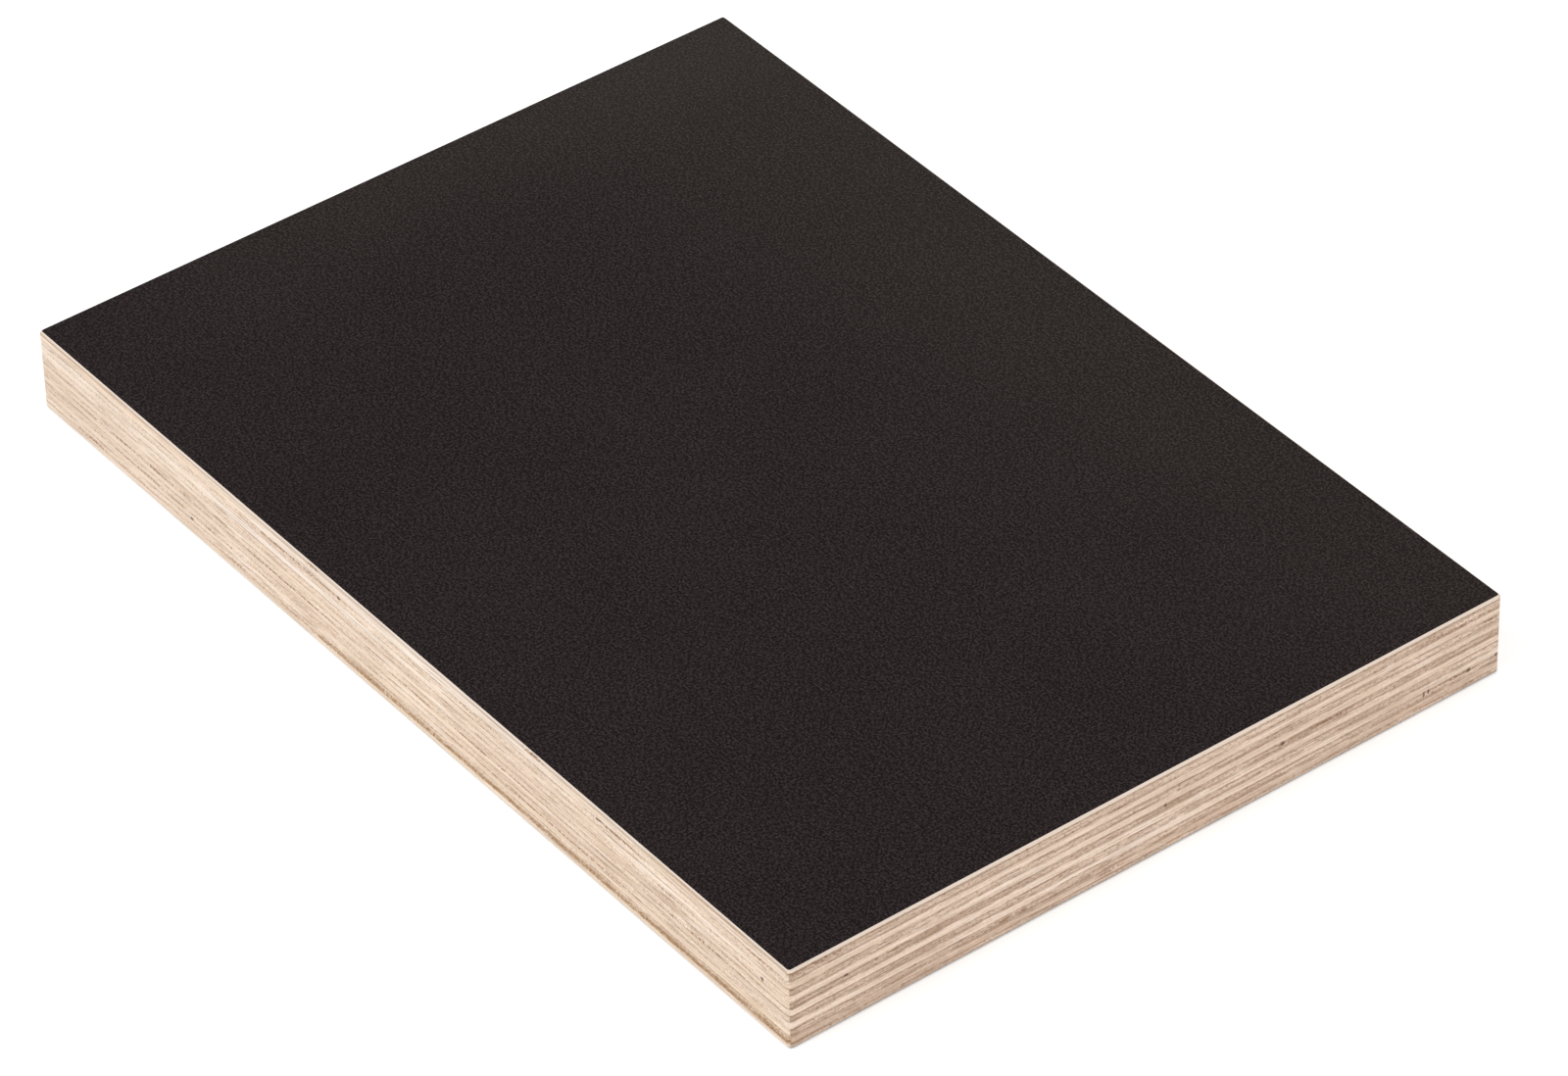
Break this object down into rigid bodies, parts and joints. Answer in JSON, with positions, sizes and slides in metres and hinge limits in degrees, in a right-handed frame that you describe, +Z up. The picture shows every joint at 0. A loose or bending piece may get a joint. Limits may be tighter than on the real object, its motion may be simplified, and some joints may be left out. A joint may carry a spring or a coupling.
{
  "type": "plywood sheet",
  "caption": "Small rectangular sheet of film-faced plywood, for panels and formwork, with crosswise veneers showing along its eased edges.",
  "frame": {"origin": "centre of the underside", "axes": "+X along the length and the grain of the face veneers, +Y across the width, +Z up through the thickness"},
  "size_m": [0.2, 0.14, 0.0157],
  "materials": {
    "film": "dark brown resin film with a fine grain and a soft low sheen",
    "veneer_lengthwise": "bare sawn birch veneer, grain along the length",
    "veneer_crosswise": "bare sawn birch veneer, grain across the width"
  },
  "bodies": {
    "root": {"bottom_film": "film", "veneer_01": "veneer_lengthwise", "veneer_02": "veneer_crosswise", "veneer_03": "veneer_lengthwise", "veneer_04": "veneer_crosswise", "veneer_05": "veneer_lengthwise", "veneer_06": "veneer_crosswise", "veneer_07": "veneer_lengthwise", "veneer_08": "veneer_crosswise", "veneer_09": "veneer_lengthwise", "veneer_10": "veneer_crosswise", "veneer_11": "veneer_lengthwise", "top_film": "film"}
  },
  "joints": []
}
